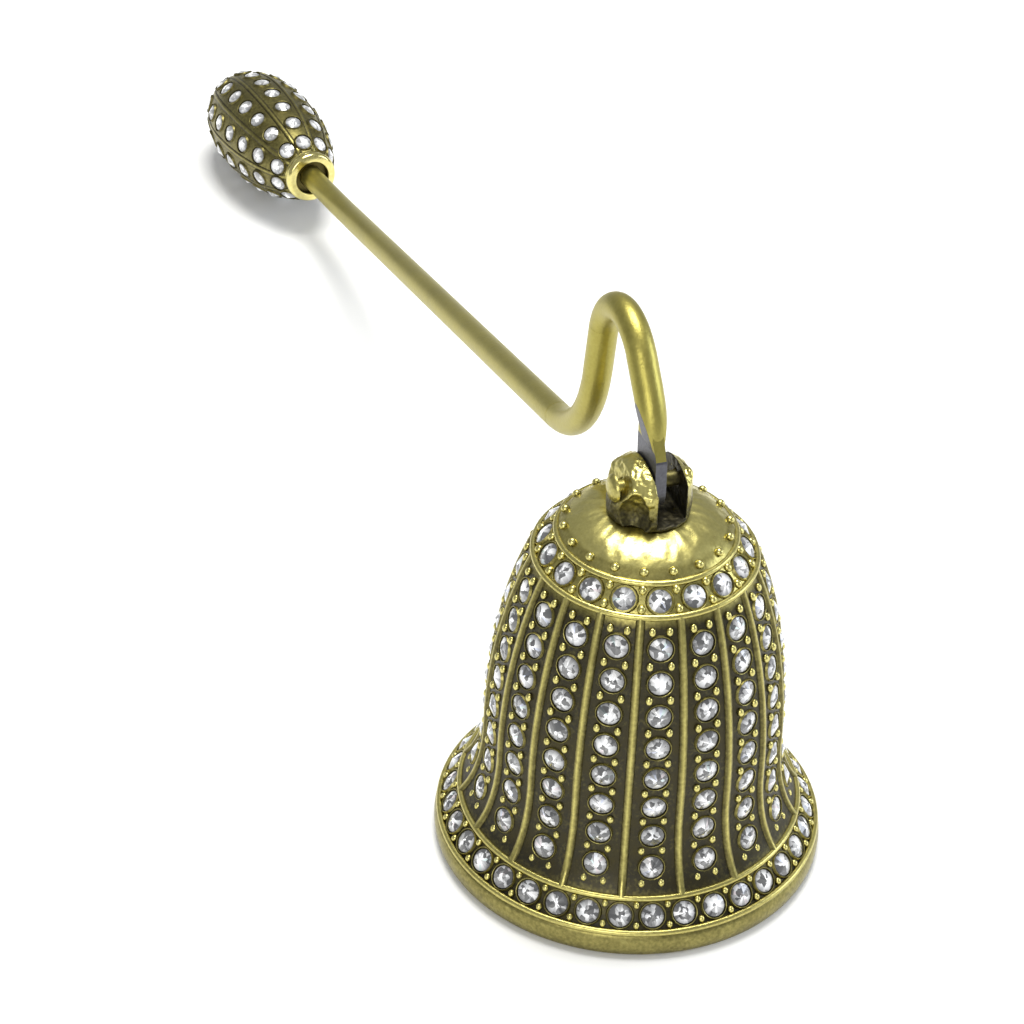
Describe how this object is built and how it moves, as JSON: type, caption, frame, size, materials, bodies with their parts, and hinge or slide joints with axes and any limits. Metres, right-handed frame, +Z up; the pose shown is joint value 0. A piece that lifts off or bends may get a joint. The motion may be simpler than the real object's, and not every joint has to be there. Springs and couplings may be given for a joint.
{
  "type": "candle snuffer",
  "caption": "Bell-shaped candle snuffer: a ribbed brass cup set with round clear stones, and a bent rod handle with a jewelled finial, hinged in a slotted stud on the cap.",
  "frame": {"origin": "middle of the cup's mouth, on the plane the cup stands on", "axes": "+Z up along the cup's axis; +X along the handle, towards the finial; the pivot pin lies along Y"},
  "size_m": [0.1786, 0.0406, 0.0597],
  "materials": {
    "antique_brass": "satin cast, dark patina in the recesses",
    "aged_brass": "rough cast, dark",
    "polished_brass": "polished",
    "crystal": "clear, cut, foil-backed"
  },
  "bodies": {
    "bell": {"cup": "antique_brass", "clevis": "aged_brass", "pivot_pin": "aged_brass", "shoulder_stones": "crystal", "panel_stones_1": "crystal", "panel_stones_2": "crystal", "panel_stones_3": "crystal", "panel_stones_4": "crystal", "panel_stones_5": "crystal", "panel_stones_6": "crystal", "panel_stones_7": "crystal", "panel_stones_8": "crystal", "foot_stones": "crystal"},
    "handle": {"handle_rod": "antique_brass", "finial_collar": "polished_brass", "finial_body": "antique_brass", "finial_stones_1": "crystal", "finial_stones_2": "crystal", "finial_stones_3": "crystal", "finial_stones_4": "crystal", "finial_stones_5": "crystal", "finial_stones_6": "crystal", "finial_stones_7": "crystal"}
  },
  "joints": [
    {"name": "handle_hinge", "type": "hinge", "parent": "bell", "child": "handle", "pos_m": [-0.0003, 0, 0.04435], "axis": [0, -1, 0], "range_deg": [-15, 95]}
  ]
}
